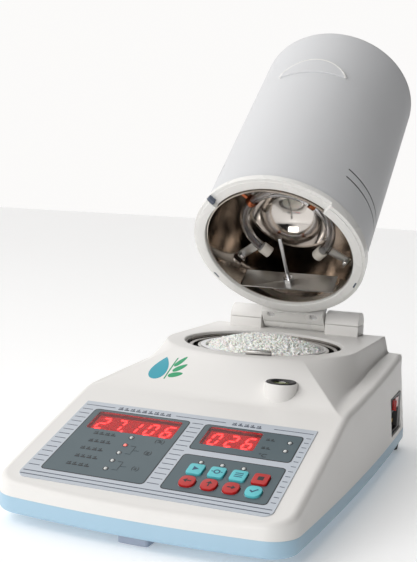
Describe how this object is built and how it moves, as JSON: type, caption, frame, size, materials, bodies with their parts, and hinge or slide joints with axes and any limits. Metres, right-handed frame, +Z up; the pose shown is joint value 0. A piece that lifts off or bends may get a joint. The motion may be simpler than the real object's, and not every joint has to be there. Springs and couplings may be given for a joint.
{
  "type": "grain moisture meter",
  "caption": "Bench grain moisture meter: wedge-shaped base with red digital displays and keys, a round sample chamber with a lift-out pan, and a tilt-back cylindrical halogen heating head.",
  "frame": {"origin": "on the bench under the middle of the sample chamber, which is the bottom centre of the open instrument's box", "axes": "+X to the operator's right, +Y away from the operator, +Z up"},
  "size_m": [0.205, 0.473, 0.3576],
  "materials": {
    "shell_white": "satin moulded ABS",
    "shell_blue": "satin moulded ABS",
    "head_grey": "satin moulded ABS",
    "ring_white": "semi-gloss heat-resistant plastic",
    "liner_steel": "polished stainless sheet",
    "bowl_steel": "stainless sheet",
    "pan_aluminium": "bright aluminium",
    "carrier_steel": "brushed stainless",
    "quartz": "clear quartz",
    "filament": "tungsten",
    "ceramic": "ceramic",
    "copper": "copper",
    "screw_steel": "plated steel",
    "wool": "ceramic fibre",
    "overlay": "printed polyester",
    "window_red": "clear red acrylic",
    "display_dark": "seven-segment module",
    "led_clear": "diffused lamp",
    "key_cyan": "satin plastic",
    "key_red": "satin plastic",
    "board_green": "coated laminate",
    "part_black": "moulded black plastic",
    "core_steel": "varnished laminations",
    "winding": "taped winding",
    "cell_aluminium": "milled aluminium",
    "rubber_foot": "moulded rubber",
    "foot_grey": "moulded plastic",
    "vial_glass": "glass with tinted fluid",
    "rocker_red": "gloss plastic",
    "blade_brass": "nickel-free brass",
    "port_metal": "tin plate",
    "grain": "pale grain"
  },
  "bodies": {
    "base": {"upper_shell": "shell_white", "lower_shell": "shell_blue", "case_screws": "screw_steel", "front_foot": "foot_grey", "chamber_bowl": "bowl_steel", "draft_ring": "bowl_steel", "pan_support": "bowl_steel", "level_bezel": "part_black", "level_vial": "vial_glass", "load_cell": "cell_aluminium", "load_cell_screws": "screw_steel", "load_cell_mount": "cell_aluminium", "main_board": "board_green", "board_screws": "screw_steel", "board_components": "part_black", "transformer_coils": "winding", "transformer_core": "core_steel", "display_board": "board_green", "main_display_digits": "display_dark", "temperature_digits": "display_dark", "main_display_window": "window_red", "temperature_window": "window_red", "indicator_lamps": "led_clear", "panel_overlay": "overlay", "key_switches": "part_black", "power_inlet": "part_black", "inlet_blades": "blade_brass", "data_port": "port_metal", "hinge_caps": "shell_white", "hinge_pin": "screw_steel"},
    "head": {"hinge_arm": "head_grey", "hinge_arm_screws": "screw_steel", "head_cover": "head_grey", "face_ring": "ring_white", "heat_liner": "liner_steel", "dome_reflector": "liner_steel", "insulation_jacket": "wool", "halogen_lamp": "quartz", "lamp_filament": "filament", "lamp_end_caps": "ceramic", "lamp_supports": "carrier_steel", "support_screws": "screw_steel", "lamp_clips": "copper", "temperature_probe": "screw_steel", "probe_plate": "carrier_steel", "probe_nuts": "screw_steel"},
    "pan": {"pan_carrier": "carrier_steel", "sample_pan": "pan_aluminium", "grain_sample": "grain"},
    "left_rear_foot": {"left_rear_foot": "rubber_foot"},
    "right_rear_foot": {"right_rear_foot": "rubber_foot"},
    "power_rocker": {"power_rocker": "rocker_red"},
    "start_key": {"start_key": "key_cyan"},
    "tare_key": {"tare_key": "key_cyan"},
    "display_key": {"display_key": "key_cyan"},
    "stop_key": {"stop_key": "key_red"},
    "left_key": {"left_key": "key_red"},
    "up_key": {"up_key": "key_red"},
    "right_key": {"right_key": "key_red"},
    "enter_key": {"enter_key": "key_cyan"}
  },
  "joints": [
    {"name": "head_hinge", "type": "hinge", "parent": "base", "child": "head", "pos_m": [0, 0.0889, 0.1018], "axis": [1, 0, 0], "range_deg": [0, 49.2]},
    {"name": "pan_lift", "type": "slide", "parent": "base", "child": "pan", "axis": [0, 0, -1], "range_m": [-0.03, 0]},
    {"name": "left_foot_level", "type": "slide", "parent": "base", "child": "left_rear_foot", "axis": [0, 0, 1], "range_m": [-0.004, 0]},
    {"name": "right_foot_level", "type": "slide", "parent": "base", "child": "right_rear_foot", "axis": [0, 0, 1], "range_m": [-0.004, 0]},
    {"name": "power_rocker_tilt", "type": "hinge", "parent": "base", "child": "power_rocker", "pos_m": [0.0931, 0.0545, 0.045], "axis": [0, 0, -1], "range_deg": [0, 14]},
    {"name": "start_key_press", "type": "slide", "parent": "base", "child": "start_key", "axis": [0, 0.3117, -0.9502], "range_m": [0, 0.0007], "stiffness_N_per_m": 300, "springref_m": -0.002},
    {"name": "tare_key_press", "type": "slide", "parent": "base", "child": "tare_key", "axis": [0, 0.3117, -0.9502], "range_m": [0, 0.0007], "stiffness_N_per_m": 300, "springref_m": -0.002},
    {"name": "display_key_press", "type": "slide", "parent": "base", "child": "display_key", "axis": [0, 0.3117, -0.9502], "range_m": [0, 0.0007], "stiffness_N_per_m": 300, "springref_m": -0.002},
    {"name": "stop_key_press", "type": "slide", "parent": "base", "child": "stop_key", "axis": [0, 0.3117, -0.9502], "range_m": [0, 0.0007], "stiffness_N_per_m": 300, "springref_m": -0.002},
    {"name": "left_key_press", "type": "slide", "parent": "base", "child": "left_key", "axis": [0, 0.3117, -0.9502], "range_m": [0, 0.0007], "stiffness_N_per_m": 300, "springref_m": -0.002},
    {"name": "up_key_press", "type": "slide", "parent": "base", "child": "up_key", "axis": [0, 0.3117, -0.9502], "range_m": [0, 0.0007], "stiffness_N_per_m": 300, "springref_m": -0.002},
    {"name": "right_key_press", "type": "slide", "parent": "base", "child": "right_key", "axis": [0, 0.3117, -0.9502], "range_m": [0, 0.0007], "stiffness_N_per_m": 300, "springref_m": -0.002},
    {"name": "enter_key_press", "type": "slide", "parent": "base", "child": "enter_key", "axis": [0, 0.3117, -0.9502], "range_m": [0, 0.0007], "stiffness_N_per_m": 300, "springref_m": -0.002}
  ]
}
